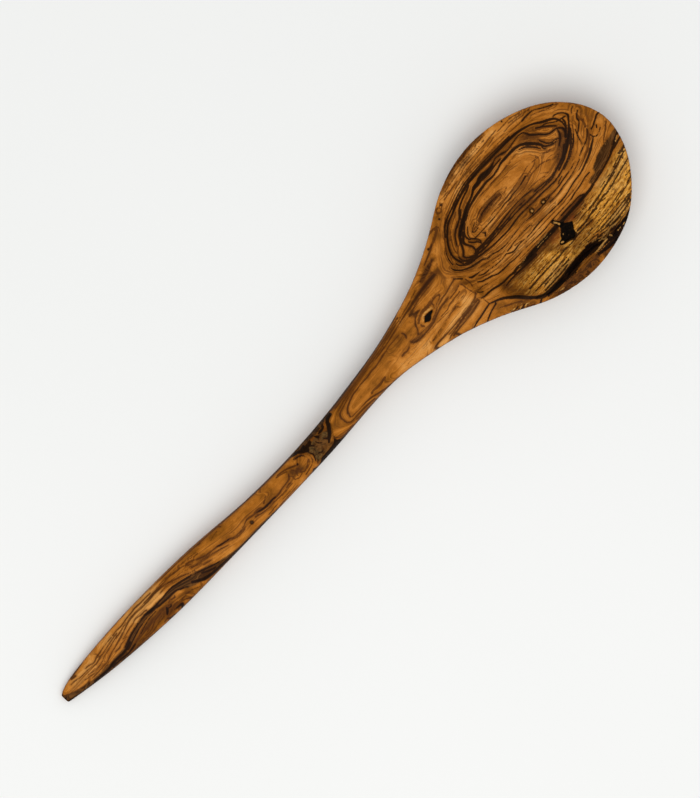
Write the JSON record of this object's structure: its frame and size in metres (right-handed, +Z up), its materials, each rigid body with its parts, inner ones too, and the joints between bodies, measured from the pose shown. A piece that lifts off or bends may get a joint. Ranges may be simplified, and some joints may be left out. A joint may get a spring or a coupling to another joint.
{
  "type": "wooden spoon",
  "caption": "Long carved cooking spoon with a shallow oval bowl, a slender waisted handle and a tapered blunt tip, lying hollow up.",
  "frame": {"origin": "on the table under the middle of the spoon's box, with the spoon lying at rest, hollow up", "axes": "+X along the spoon from the handle's tip to the bowl, +Y across it, +Z up out of the hollow"},
  "size_m": [0.35, 0.0781, 0.0201],
  "materials": {
    "olive_wood": "oiled, satin, strongly figured",
    "dead_knot": "black, sanded flush",
    "pin_knot": "dark ring with a pale centre, sanded flush",
    "bark": "dark bark, grey brown, sanded flush"
  },
  "bodies": {
    "root": {"spoon_body": "olive_wood", "bowl_dead_knot": "dead_knot", "bowl_pin_knots": "pin_knot", "neck_dead_knot": "dead_knot", "handle_pin_knot": "pin_knot", "handle_bark_pocket": "bark", "bowl_bark_seam": "bark"}
  },
  "joints": []
}
